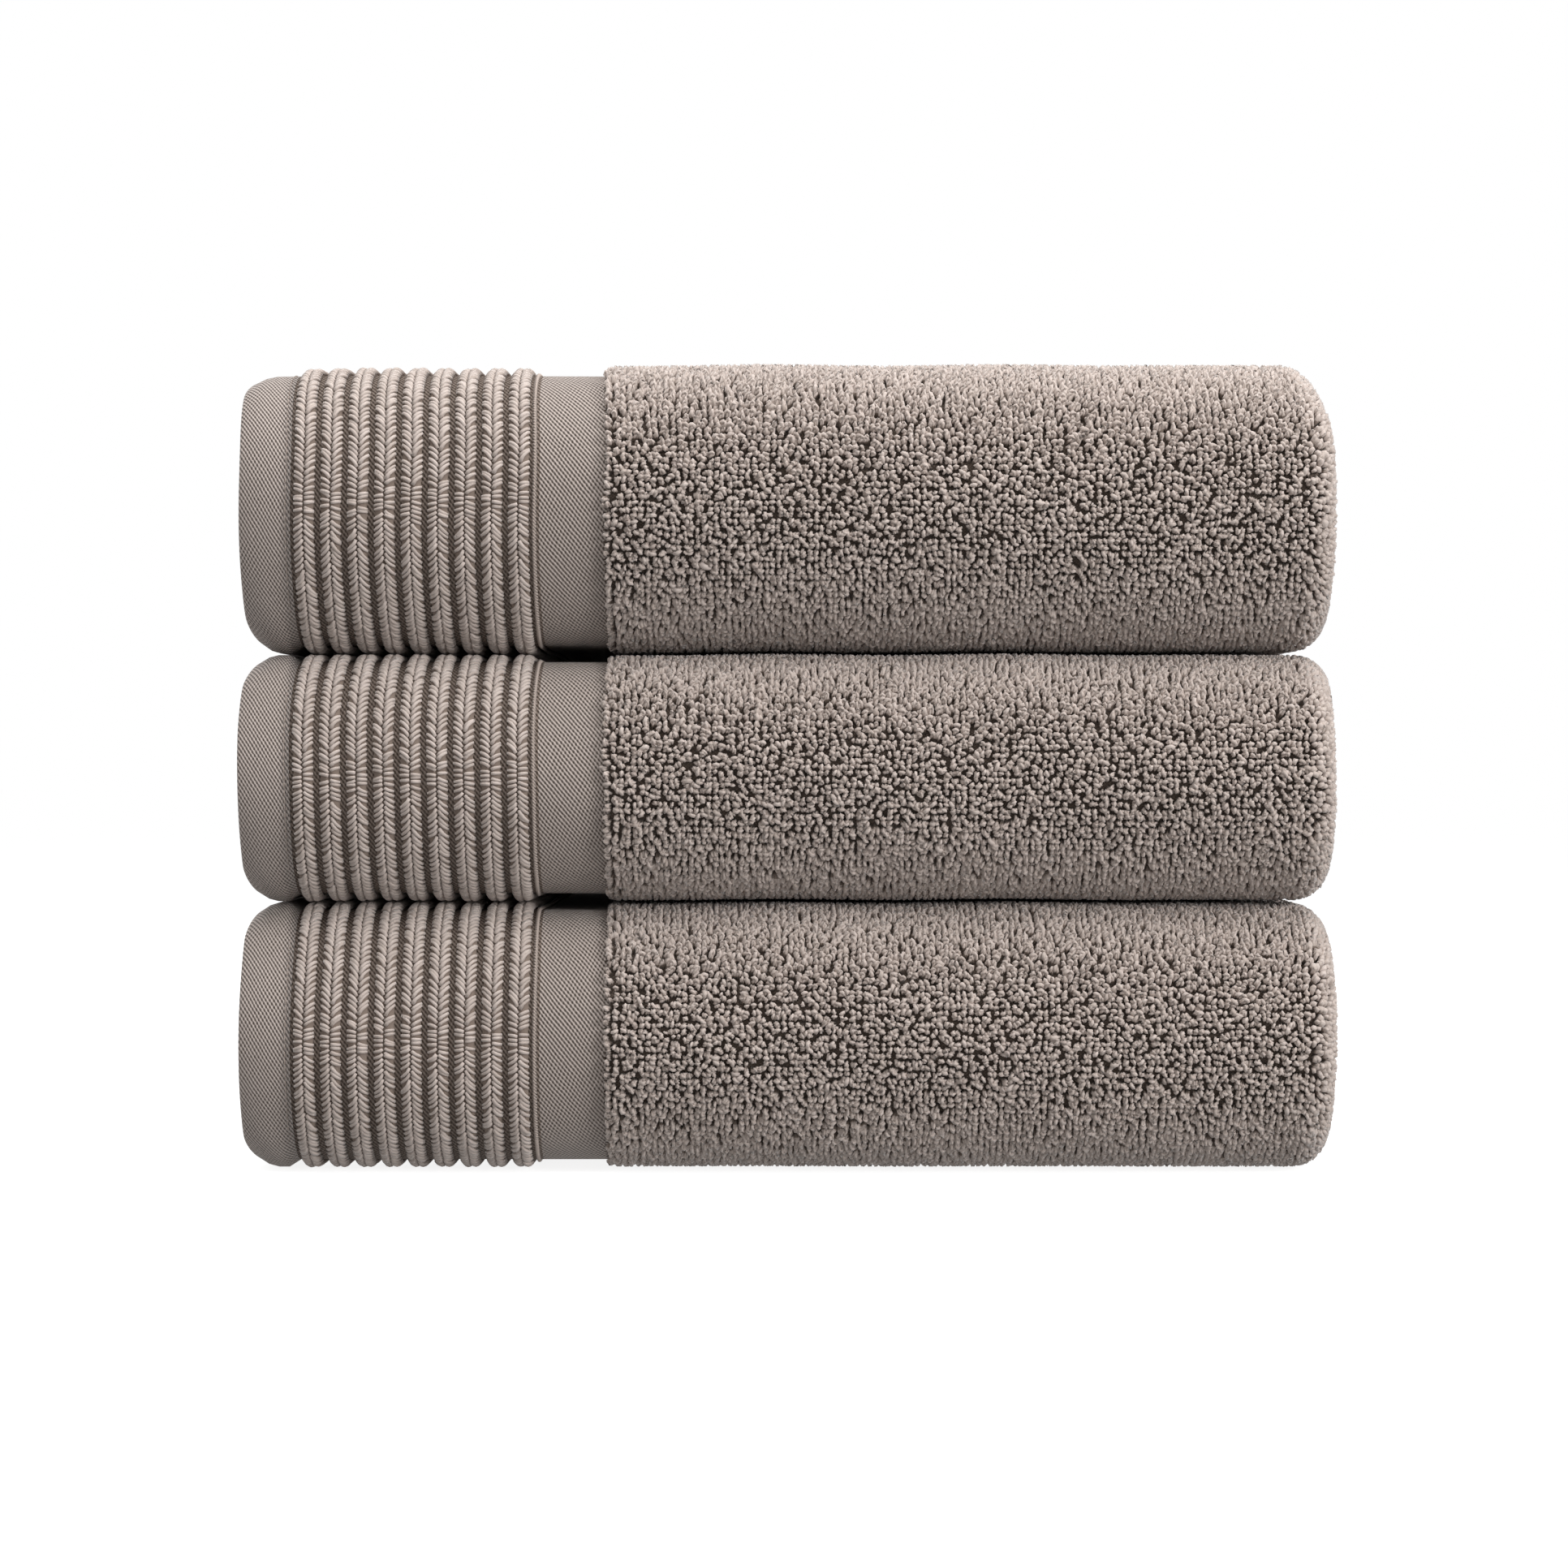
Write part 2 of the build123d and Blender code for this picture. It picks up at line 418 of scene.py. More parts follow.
class Nodes:
    """Short way to write a material's maths."""

    def __init__(self, material):
        self.tree = material.node_tree
        self.shader = material.node_tree.nodes["Principled BSDF"]

    def new(self, kind, **settings):
        node = self.tree.nodes.new(kind)
        for name, value in settings.items():
            setattr(node, name, value)
        return node

    def maths(self, operation, a, b=0.0, c=0.0):
        node = self.new("ShaderNodeMath", operation=operation)
        for socket, value in zip(node.inputs, (a, b, c)):
            if isinstance(value, (int, float)):
                socket.default_value = value
            else:
                self.tree.links.new(value, socket)
        return node.outputs[0]

    def cloth(self):
        """The cloth's q and s as two values, in metres."""
        place = self.new("ShaderNodeUVMap", uv_map="cloth")
        split = self.new("ShaderNodeSeparateXYZ")
        self.tree.links.new(place.outputs[0], split.inputs[0])
        return split.outputs[0], split.outputs[1]

    def noise(self, scale, detail=3.0):
        place = self.new("ShaderNodeTexCoord")
        node = self.new("ShaderNodeTexNoise")
        node.inputs["Scale"].default_value = scale
        node.inputs["Detail"].default_value = detail
        self.tree.links.new(place.outputs["Object"], node.inputs["Vector"])
        return node.outputs["Fac"]

    def colour(self, height, low, high):
        """Colour between two shades of the cloth, by a value from 0 to 1."""
        ramp = self.new("ShaderNodeMix", data_type="RGBA")
        ramp.inputs["A"].default_value = shade(low)
        ramp.inputs["B"].default_value = shade(high)
        self.tree.links.new(height, ramp.inputs["Factor"])
        self.tree.links.new(ramp.outputs["Result"], self.shader.inputs["Base Color"])

    def bump(self, height, depth):
        node = self.new("ShaderNodeBump")
        node.inputs["Strength"].default_value = 1.0
        node.inputs["Distance"].default_value = depth
        self.tree.links.new(height, node.inputs["Height"])
        self.tree.links.new(node.outputs[0], self.shader.inputs["Normal"])


def twill(name, pitch, slant, dash, low, high, sheen=0.25):
    """Twill cloth: slanting rows of raised floats, each row broken into dashes. pitch and dash
    are the lengths of one row and one dash, slant is in degrees, and low and high are the shades
    of the hollows and of the floats. The hollows' darker colour is painted shade in the weave."""
    material = cotton(name, 1.0, sheen)
    nodes = Nodes(material)
    q, s = nodes.cloth()
    turn = math.radians(slant)

    def phase(along_q, along_s, length):
        scaled = nodes.maths("MULTIPLY", s, 2 * math.pi * along_s / length)
        return nodes.maths("MULTIPLY_ADD", q, 2 * math.pi * along_q / length, scaled)

    wander = nodes.maths("MULTIPLY_ADD", nodes.noise(160.0, 2.0), 3.0, 0.0)
    row_phase = nodes.maths("ADD", phase(math.sin(turn), -math.cos(turn), pitch), wander)
    dash_phase = nodes.maths("ADD", phase(math.cos(turn), math.sin(turn), dash), wander)
    dash_phase = nodes.maths("MULTIPLY_ADD", row_phase, 0.5, dash_phase)
    row = nodes.maths("SINE", row_phase)
    stitch = nodes.maths("SINE", dash_phase)
    uneven_rows = nodes.maths("MULTIPLY_ADD", nodes.noise(90.0, 2.0), 1.1, -0.15)
    raised = nodes.maths("MULTIPLY_ADD", stitch, uneven_rows, row)
    fuzz = nodes.noise(1500.0, 3.0)
    raised = nodes.maths("MULTIPLY_ADD", fuzz, 0.8, raised)
    raised = nodes.maths("MULTIPLY_ADD", raised, 0.45, 0.4)
    height = nodes.new("ShaderNodeClamp")
    nodes.tree.links.new(raised, height.inputs[0])
    nodes.colour(height.outputs[0], low, high)
    nodes.bump(height.outputs[0], 0.4 * MM)
    rough = nodes.maths("MULTIPLY_ADD", height.outputs[0], 0.15, 0.8)
    nodes.tree.links.new(rough, nodes.shader.inputs["Roughness"])
    return material


def ground_weave_with_painted_shade(name):
    """The open plain weave that the loops stand in, with painted shade: dark between their feet.
    """
    material = cotton(name, 0.7, 0.05)
    nodes = Nodes(material)
    q, s = nodes.cloth()
    warp = nodes.maths("SINE", nodes.maths("MULTIPLY", q, 2 * math.pi / (1.3 * MM)))
    weft = nodes.maths("SINE", nodes.maths("MULTIPLY", s, 2 * math.pi / (1.1 * MM)))
    height = nodes.maths("MULTIPLY_ADD", nodes.maths("MULTIPLY", warp, weft), 0.35, 0.5)
    # Painted shade: the ground is much darker than the yarn, for the shade under the loops
    nodes.colour(height, 0.2, 0.4)
    nodes.bump(height, 0.4 * MM)
    return material


def yarn_tones(name, tones, sheen=0.35):
    """The same yarn in slightly different shades, as loops catch more or less dye and wear."""
    return [cotton(f"{name}_{k + 1}", tone, sheen) for k, tone in enumerate(tones)]


# Each kind's materials, in the order of its slots
MATERIALS = {
    "pile": yarn_tones("terry_yarn", PILE_TONES) + [cotton("terry_yarn_root_painted_shade", ROOT_PAINTED_SHADE, 0.1)],
    "rib": yarn_tones("rib_yarn", RIB_TONES) + [cotton("rib_core_painted_shade", CORE_PAINTED_SHADE, 0.05)],
    "ground": [ground_weave_with_painted_shade("terry_ground_weave_painted_shade")],
    "border": [twill("border_twill", 1.15 * MM, 52, 1.45 * MM, 0.1, 1.05)],
    # Painted shade: the twill between the ribs is darker, where shade falls
    "groove": [twill("groove_twill_painted_shade", 1.15 * MM, 52, 1.45 * MM, 0.1, 0.52, sheen=0.03)],
    "hem": [twill("hem_twill", 1.05 * MM, 60, 1.4 * MM, 0.12, 1.12)],
    "selvedge": [twill("selvedge_twill", 1.1 * MM, 35, 1.2 * MM, 0.25, 0.9)],
    "ridge": [cotton("ridge_yarn", 0.85, 0.2)],
    "thread": [cotton("sewing_yarn", 0.7, 0.3)],
}


def dress(piece, kind):
    for material in MATERIALS[kind]:
        piece.data.materials.append(material)


def add(piece, fold, kind, slot, *nodes):
    """Gives a piece its materials and its body, and hides the CAD nodes that it stands for."""
    dress(piece, kind)
    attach(piece, f"{fold.towel}_towel")
    if nodes:
        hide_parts(*(f"{fold.towel}_{node}" for node in nodes))
    return piece


# Cloth


def lines_between(start, end, step):
    """Evenly spaced places, about a step apart."""
    return np.linspace(start, end, max(2, int(round((end - start) / step)) + 1))


def lines_along(track, start, end, flat_step, turn_step):
    """Places between start and end on a track of straights and turns in turn, closer together
    in the turns."""
    bounds = [0, *track.ends]
    places = []
    for k, (low, high) in enumerate(zip(bounds[:-1], bounds[1:])):
        low, high = max(low, start), min(high, end)
        if high > low:
            places.append(lines_between(low, high, turn_step if k % 2 else flat_step))
    return np.unique(np.round(np.concatenate(places), 7))


def section_lines(fold, start, end):
    return lines_along(fold.section, start, end, 6 * MM, 1.2 * MM)


def roll_lines(fold, start, end, flat_step=6 * MM, turn_step=2 * MM):
    return lines_along(fold.roll, start, end, flat_step, turn_step)


def make_terry_ground(fold):
    """The looped cloth's ground, one sheet folded in four and rolled in three."""
    q = section_lines(fold, fold.border_end, fold.length - fold.border_end)
    s = roll_lines(fold, SELVEDGE_WIDTH, fold.width - SELVEDGE_WIDTH)
    half = fold.layer / 2 - 0.2 * MM
    left_start, left_end = fold.left_turn

    def face(q, s):
        inside = smooth_step((q - fold.turn_ends) / (6 * MM))
        near_left = np.minimum(q - left_start, left_end - q) / (10 * MM) + 1
        lowered = smooth_step(near_left) * (half - 0.9 * MM)
        return fold.outer_ground(s) * (1 - inside) + (half - lowered) * inside

    def back(q, s):
        return np.full_like(q, -half)

    piece = slab(fold, f"{fold.towel}_terry_ground", q, s, face, back)
    return add(piece, fold, "ground", "terry_pile", "terry_cloth")


def hem_lift(fold, s):
    """Where a towel lies against the next, its hem stands out nearly as far as its ribs."""
    over_top, front_end, _, back_end, _ = fold.roll.ends
    nose = front_end - over_top
    pressed = 2.5 * MM
    at_top = 0.0 if fold.towel == "top" else pressed
    places = [over_top, over_top + 0.25 * nose, over_top + 0.75 * nose, front_end, back_end]
    return np.interp(s, places, [at_top, 0, 0, pressed, pressed])


def make_outer_border(fold):
    """Hem and border cloth at the outer end."""
    s = roll_lines(fold, SELVEDGE_WIDTH, fold.width - SELVEDGE_WIDTH, 4 * MM, 1.5 * MM)
    edge = 1.2 * MM
    rounding = edge * (1 - np.cos(np.linspace(0, math.pi / 2, 6)))
    q = np.concatenate([rounding, [5 * MM, 9 * MM, 13 * MM, fold.hem_end]])

    def hem_level(q, s):
        join = smooth_step((fold.hem_end - q) / (3 * MM))
        return fold.outer_ground(s) + hem_lift(fold, s) * join

    def hem_round(q):
        return edge * (1 - np.sqrt(1 - np.clip(1 - q / edge, 0, 1) ** 2))

    def hem_face(q, s):
        return hem_level(q, s) - hem_round(q)

    def hem_back(q, s):
        return hem_level(q, s) - HEM_THICKNESS + hem_round(q)

    hem = slab(fold, f"{fold.towel}_outer_hem_cloth", q, s, hem_face, hem_back)
    add(hem, fold, "hem", "hem_weave", "outer_end_hem")

    q = lines_between(fold.hem_end, fold.border_end + 2 * MM, 1.5 * MM)
    cloth = slab(
        fold,
        f"{fold.towel}_outer_border_twill",
        q,
        s,
        lambda q, s: fold.outer_ground(s),
        lambda q, s: fold.outer_ground(s) - GROUND_THICKNESS,
    )
    add(cloth, fold, "border", "twill_ground", "outer_border_cloth")
    paint_groove_shade(fold, cloth)
    return [hem, cloth]


def paint_groove_shade(fold, cloth):
    """Gives the cloth that carries the ribs its own material with painted shade, darker as it is
    shut in.
    """
    dress(cloth, "groove")
    middles = rib_middles(fold)
    places = np.empty(len(cloth.data.loops) * 2, np.float32)
    cloth.data.uv_layers["cloth"].data.foreach_get("uv", places)
    q = places.reshape(-1, 4, 2)[:, :, 0].mean(axis=1)
    inside = (q > middles[0] - 1.4 * RIB_HALF) & (q < middles[-1] + RIB_HALF + 3.3 * MM)
    cloth.data.polygons.foreach_set("material_index", inside.astype(np.int32))


def make_inner_border(fold):
    """Hem and border cloth at the inner end, face down between the first and third layers."""
    s = roll_lines(fold, SELVEDGE_WIDTH, fold.width - SELVEDGE_WIDTH)
    hem_start = fold.length - fold.hem_end
    level = 0.5 * MM

    def slab_at(name, start, end, thickness):
        q = lines_between(start, end, 4 * MM)
        return slab(
            fold,
            f"{fold.towel}_{name}",
            q,
            s,
            lambda q, s: np.full_like(q, level + thickness / 2),
            lambda q, s: np.full_like(q, level - thickness / 2),
        )

    hem = slab_at("inner_hem_cloth", hem_start, fold.length, HEM_THICKNESS)
    add(hem, fold, "hem", "hem_weave", "inner_end_hem")
    border_start = fold.length - fold.border_end
    cloth = slab_at("inner_border_twill", border_start, hem_start, GROUND_THICKNESS)
    add(cloth, fold, "border", "twill_ground", "inner_border_cloth")
    return [hem, cloth]


def make_selvedges(fold):
    """The woven long edges of the cloth, at the back of the top run and inside the roll."""
    q = section_lines(fold, 0, fold.length)
    made = []

    def level(q, s):
        inside = smooth_step((q - fold.turn_ends) / (6 * MM))
        return (fold.outer_ground(s) - GROUND_THICKNESS / 2) * (1 - inside)

    for node, start, edge in (
        ("outer_selvedge", 0.0, 0.0),
        ("inner_selvedge", fold.width - SELVEDGE_WIDTH, fold.width),
    ):
        s = start + SELVEDGE_WIDTH * (1 - np.cos(np.linspace(0, math.pi, 13))) / 2

        def half(s, edge=edge):
            reach = np.clip(1 - np.abs(s - edge) / (1.1 * MM), 0, 1)
            return 1.15 * MM * np.sqrt(1 - 0.95 * reach**2)

        piece = slab(
            fold,
            f"{fold.towel}_{node}_weave",
            q,
            s,
            lambda q, s: level(q, s) + half(s),
            lambda q, s: level(q, s) - half(s),
        )
        made.append(add(piece, fold, "selvedge", "selvedge_weave", node))
    return made


# Ribs and threads


def rib_middles(fold):
    """Distances of the ribs' middles from the cloth's end, from the CAD."""
    boxes = [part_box(f"{fold.towel}_outer_rib_{k + 1}") for k in range(RIB_COUNT)]
    return [(low[0] + high[0]) / 2 - fold.left for low, high in boxes]


def crowd(places, middle, amount):
    """Moves evenly spaced places towards a middle, so that they are denser near it."""
    away = (places - middle) / (12 * MM)
    return places - amount * 3 * away * np.exp(-0.5 * away * away)


def make_rib(fold, number, middle):
    """A braided rib: two rows of strands that leave its middle crease and slant away from the
    foremost line of the towel's rounded front, over a plain creased core."""
    rng = np.random.default_rng(100 * TOWELS.index(fold.towel) + number)
    over_top, front_end, _, back_end, _ = fold.roll.ends
    start, end = SELVEDGE_WIDTH, back_end
    foremost = (over_top + front_end) / 2
    rows = crowd(np.arange(start, end, STRAND_PITCH * 0.97), foremost, 0.55 * STRAND_PITCH)
    count = 2 * len(rows)
    side = np.repeat([-1, 1], len(rows))
    s0 = np.tile(rows, 2) + rng.normal(0, 0.16 * MM, count) + (side > 0) * 0.4 * STRAND_PITCH
    slant = np.tanh((s0 - foremost) / (9 * MM)) + rng.normal(0, 0.12, count)
    u = np.linspace(0, 1, STRAND_POINTS)
    reach = RIB_HALF - 0.3 * MM
    across = side[:, None] * (CREASE_HALF + u[None] ** 1.15 * (reach - CREASE_HALF))
    height = RIB_RISE * np.sqrt(1 - (np.abs(across) / (RIB_HALF * 1.02)) ** 2) - STRAND_RADIUS
    height = height - 0.5 * MM * (1 - u[None]) ** 4
    height = height + rng.normal(0, 0.1 * MM, count)[:, None]
    s = s0[:, None] + slant[:, None] * STRAND_SLANT * u[None] ** 0.8
    q = middle + across
    line = fold.place(q, s, fold.outer_ground(s) + height)
    fat = STRAND_RADIUS * (0.7 + 0.4 * np.sin(math.pi * (0.25 + 0.7 * u)))
    radius = fat[None] * rng.normal(1, 0.06, count)[:, None]
    _, _, sideways, _ = fold.frame_at(q, s, 0.0)
    strands = tubes(line, radius, sideways)
    strand_quads, per_strand = tube_quads(count, STRAND_POINTS)
    tones = np.repeat(rng.integers(0, TONES, count), per_strand)

    core_s = roll_lines(fold, start, end, 5 * MM, 2 * MM)
    angle = np.linspace(0, math.pi, 15)
    core_q, core_s_grid = np.meshgrid(middle - 0.9 * RIB_HALF * np.cos(angle), core_s)
    core_height = (RIB_RISE - 0.85 * MM) * np.sin(angle)[None] - 0.2 * MM
    crease = np.exp(-(((core_q - middle) / CREASE_HALF) ** 2))
    core_height = core_height - CREASE_DEPTH * crease
    core = fold.place(core_q, core_s_grid, fold.outer_ground(core_s_grid) + core_height)
    core_quads = grid_quads(*core_q.shape)
    points = np.concatenate([strands, core.reshape(-1, 3)])
    quads = np.concatenate([strand_quads, core_quads + len(strands)])
    # Painted shade: the rib's core takes the darker slot
    tones = np.concatenate([tones, np.full(len(core_quads), PAINTED_SHADE_SLOT)])
    piece = new_piece(f"{fold.towel}_rib_braid_{number}", points, quads, tones=tones)
    return add(piece, fold, "rib", "braided_rib", f"outer_rib_{number}")


def slanting_stitches(fold, q_start, q_end, s_starts, length, rise, radius, level):
    """Short stitches of yarn that run along the roll, from one line of the cloth to another."""
    u = np.linspace(0, 1, STITCH_POINTS)
    s = s_starts[:, None] + length * u[None]
    q = np.broadcast_to(q_start + (q_end - q_start) * u[None], s.shape)
    arch = rise * np.sin(math.pi * u)[None] - 0.1 * MM
    line = fold.place(q, s, level(s) + arch)
    sideways = np.broadcast_to(np.array([1.0, 0, 0]), line.shape)
    return tubes(line, np.full(line.shape[:2], radius), sideways), len(line)


def make_ridge(fold):
    """The thin ridge beside the ribs: a close row of slanting stitches."""
    low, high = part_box(f"{fold.towel}_outer_ridge")
    middle = (low[0] + high[0]) / 2 - fold.left
    half, pitch = 0.45 * MM, 1.15 * MM
    starts = np.arange(SELVEDGE_WIDTH, fold.roll.ends[3], pitch)
    length, rise, radius = 1.5 * MM, 0.7 * MM, 0.42 * MM
    points, count = slanting_stitches(
        fold, middle - half, middle + half, starts, length, rise, radius, fold.outer_ground
    )
    quads, _ = tube_quads(count, STITCH_POINTS)
    piece = new_piece(f"{fold.towel}_ridge_stitches", points, quads)
    return add(piece, fold, "ridge", "braided_rib", "outer_ridge")


def make_inner_ribs(fold):
    """The inner border's ribs, hidden between two layers: plain cords."""
    s = roll_lines(fold, SELVEDGE_WIDTH, fold.width - SELVEDGE_WIDTH)
    angle_grid, s_grid = np.meshgrid(np.linspace(0, math.pi, 7), s)
    rise = 1.5 * MM
    cords = []
    for middle in rib_middles(fold):
        q_grid = fold.length - middle - RIB_HALF * np.cos(angle_grid)
        cords.append(fold.place(q_grid, s_grid, rise + rise * np.sin(angle_grid)))
    rows, columns = angle_grid.shape
    step = rows * columns
    quads = np.concatenate([grid_quads(rows, columns) + k * step for k in range(len(cords))])
    points = np.concatenate([cord.reshape(-1, 3) for cord in cords])
    piece = new_piece(f"{fold.towel}_inner_rib_cords", points, quads)
    return add(piece, fold, "rib", "braided_rib", "inner_border_ribs")


def make_hem_stitches(fold):
    """Rows of lock stitches along both hems."""
    pitch, length, rise, radius = 2.6 * MM, 1.9 * MM, 0.3 * MM, 0.2 * MM
    starts = np.arange(SELVEDGE_WIDTH, fold.width - SELVEDGE_WIDTH - pitch, pitch)
    outer_q = fold.hem_end - 1.6 * MM
    inner_q = fold.length - outer_q

    def inner_level(s):
        return np.full_like(s, 1.7 * MM)

    outer, count = slanting_stitches(
        fold, outer_q, outer_q, starts, length, rise, radius, fold.outer_ground
    )
    inner, _ = slanting_stitches(
        fold, inner_q, inner_q, starts, length, rise, radius, inner_level
    )
    quads, _ = tube_quads(2 * count, STITCH_POINTS)
    piece = new_piece(f"{fold.towel}_hem_stitches", np.concatenate([outer, inner]), quads)
    return add(piece, fold, "thread", "sewing_thread", "hem_thread")


# Loops


def loop_shape(points):
    """A loop from foot to foot, one unit high and one unit to each side."""
    u = np.linspace(0, 1, points)
    swell = np.sin(math.pi * u)
    return -np.cos(math.pi * u) * (0.35 + 0.75 * swell), swell**0.7


def pile(fold, q_range, s_range, seed, pitch=LOOP_PITCH, points=7, lay=0.22, ground=None,
         depth=None, spread=1.0, plies=1):
    """Points, quads and tones of the terry loops on one stretch of cloth. Each loop is a bent
    yarn, turned, twisted and leaning its own way. lay is how much they lean, ground and depth
    are the level of their feet and their height where these aren't the outer face's, and spread
    is how much longer the face is than the cloth's middle."""
    rng = np.random.default_rng(seed)
    columns = max(1, int(round((q_range[1] - q_range[0]) * spread / pitch)))
    rows = max(1, int(round((s_range[1] - s_range[0]) / pitch)))
    grid_q, grid_s = np.meshgrid(
        q_range[0] + (np.arange(columns) + 0.5) * (q_range[1] - q_range[0]) / columns,
        s_range[0] + (np.arange(rows) + 0.5) * (s_range[1] - s_range[0]) / rows,
    )
    count = grid_q.size
    q = grid_q.ravel() + rng.normal(0, LOOP_JITTER * pitch, count)
    s = grid_s.ravel() + rng.normal(0, LOOP_JITTER * pitch, count)
    base = fold.outer_ground(s) if ground is None else ground(q, s)
    size = np.exp(rng.normal(0, LOOP_SIZE_SPREAD, count))
    yarn = YARN_RADIUS * size
    edge = 1 - np.clip((q - fold.border_end) / PILE_EDGE, 0, 1) if ground is None else 0 * q
    tall = (fold.pile_depth(s) if depth is None else depth(q, s)) - yarn
    laid = np.abs(fold.away_from_front(s))
    tall = tall * (1 + rng.normal(0, 0.07, count) * (1 - 0.6 * laid)) * (1 - 0.6 * edge * edge)
    root, along, across, out = fold.frame_at(q, s, base)
    side, up = loop_shape(points)
    turn = rng.uniform(-math.pi / 2, math.pi / 2, count) * (1 - 0.6 * np.minimum(laid, 1))
    twist = rng.normal(0, 0.9, count)
    angle = turn[:, None] + twist[:, None] * up[None]
    half = LOOP_HALF_WIDTH * size * rng.normal(1.0, 0.15, count)
    lean_angle = rng.uniform(0, 2 * math.pi, count)
    lean = np.abs(rng.normal(0, lay, count))
    lean_q = lean * np.cos(lean_angle) - 0.9 * edge
    lean_s = lean * np.sin(lean_angle) + fold.away_from_front(s)
    bend = up[None] ** 1.6 * tall[:, None]
    a = half[:, None] * side[None] * np.cos(angle) + lean_q[:, None] * bend
    b = half[:, None] * side[None] * np.sin(angle) + lean_s[:, None] * bend
    stand = 1 / np.sqrt(1 + 0.22 * (lean_q**2 + lean_s**2))
    h = up[None] * (tall * stand)[:, None] - 0.15 * MM
    line = root[:, None] + a[..., None] * along[:, None] + b[..., None] * across[:, None]
    line = line + h[..., None] * out[:, None]
    side_way = -np.sin(turn)[:, None] * along + np.cos(turn)[:, None] * across
    radius = yarn[:, None] * (0.72 + 0.28 * up[None])
    side_way = np.broadcast_to(side_way[:, None], line.shape)
    ring_points = tubes(line, radius, side_way, plies)
    quads, per_tube = tube_quads(count * plies, points)
    tones = np.repeat(rng.integers(0, TONES, count * plies)[:, None], per_tube, axis=1)
    # Painted shade: the stretch of each loop next to its feet gets the darker slot
    tones[:, :TUBE_SIDES] = PAINTED_SHADE_SLOT
    tones[:, (points - 2) * TUBE_SIDES :] = PAINTED_SHADE_SLOT
    return ring_points, quads, tones.ravel()


def loop_piece(fold, name, fields):
    """One piece of the loops of one or more stretches of cloth."""
    points = np.concatenate([field[0] for field in fields])
    before = np.cumsum([0] + [len(field[0]) for field in fields[:-1]])
    quads = np.concatenate([field[1] + start for field, start in zip(fields, before)])
    tones = np.concatenate([field[2] for field in fields])
    piece = new_piece(f"{fold.towel}_{name}", points, quads, tones=tones)
    return add(piece, fold, "pile", "terry_pile")


def make_pile(fold):
    """All the loops that can be seen on one towel."""
    over_top, front_end, under_end, back_end, _ = fold.roll.ends
    first = fold.border_end + 1.2 * MM
    flat = first, fold.turn_starts
    turn = fold.turn_starts, fold.turn_ends + 2 * MM
    front_from, front_to = over_top - 6 * MM, front_end + 6 * MM
    edge = SELVEDGE_WIDTH
    across = edge, fold.width
    free, pressed, hidden = 2.3 * MM, 2.6 * MM, 2.7 * MM  # wider pitches where less shows
    seed = 10 * TOWELS.index(fold.towel)
    front = pile(fold, flat, (front_from, front_to), seed + 1, plies=2)
    ends = pile(fold, turn, across, seed + 2, spread=1.35)
    if fold.towel == "top":
        upper = pile(fold, flat, (edge, front_from), seed + 3, free, lay=0.25)
    else:
        upper = pile(fold, flat, (edge, front_from), seed + 3, pressed, points=6, lay=0.5)
    under = pile(fold, flat, (front_to, under_end), seed + 4, hidden, points=5, lay=0.5)
    back = pile(fold, flat, (under_end, back_end), seed + 5, free)
    left_start, left_end = fold.left_turn
    inner_fold = pile(
        fold,
        (left_start - 5 * MM, left_end + 5 * MM),
        across,
        seed + 6,
        free,
        points=6,
        ground=lambda q, s: np.full_like(q, 0.9 * MM),
        depth=lambda q, s: np.full_like(q, 2.6 * MM),
        spread=1.6,
    )
    return [
        loop_piece(fold, "front_loops", [front]),
        loop_piece(fold, "end_loops", [ends]),
        loop_piece(fold, "upper_loops", [upper]),
        loop_piece(fold, "under_and_back_loops", [under, back]),
        loop_piece(fold, "inner_fold_and_edge_loops", [inner_fold, edge_loops(fold, seed + 7)]),
    ]


def edge_loops(fold, seed):
    """Loops that bulge out between the layers at the cloth's two long edges, behind the
    selvedges, which are thinner than the looped cloth."""
    rng = np.random.default_rng(seed)
    pitch, reach, points, yarn = 1.9 * MM, 3.2 * MM, 5, 0.75 * MM
    q = np.arange(fold.border_end, fold.length - fold.border_end, pitch)
    rows = fold.layer * np.array([-0.36, -0.12, 0.12, 0.36])
    lines = []
    for s_edge, outward in ((SELVEDGE_WIDTH, -1), (fold.width - SELVEDGE_WIDTH, 1)):
        for w in rows:
            places = q + rng.normal(0, 0.2 * pitch, len(q))
            levels = w + rng.normal(0, 0.25 * MM, len(q))
            bare = (places < fold.turn_starts) & (levels > fold.layer / 2 - FREE_PILE)
            levels = np.where(bare, fold.layer / 2 - FREE_PILE - GROUND_THICKNESS, levels)
            root, along, across, out = fold.frame_at(places, np.full_like(places, s_edge), levels)
            side, up = loop_shape(points)
            turn = rng.uniform(0, math.pi, len(q))[:, None]
            flat = 0.6 * MM * side[None]
            tall = reach * rng.normal(0.85, 0.15, len(q))[:, None] * up[None]
            line = root[:, None] + (flat * np.cos(turn))[..., None] * along[:, None]
            line = line + (flat * np.sin(turn))[..., None] * out[:, None]
            lines.append(line + outward * tall[..., None] * across[:, None])
    line = np.concatenate(lines)
    sideways = np.broadcast_to(np.array([1.0, 0.2, 0.3]), line.shape)
    ring_points = tubes(line, np.full(line.shape[:2], yarn), sideways)
    quads, per_loop = tube_quads(len(line), points)
    return ring_points, quads, np.repeat(rng.integers(0, TONES, len(line)), per_loop)


def make_towel(towel):
    """Every piece of one towel."""
    fold = Fold(towel)
    ground = make_terry_ground(fold)
    parts = make_outer_border(fold) + make_inner_border(fold) + make_selvedges(fold)
    for number, middle in enumerate(rib_middles(fold), start=1):
        parts.append(make_rib(fold, number, middle))
    parts += [make_ridge(fold), make_inner_ribs(fold), make_hem_stitches(fold)]
    parts += make_pile(fold)


# Studio


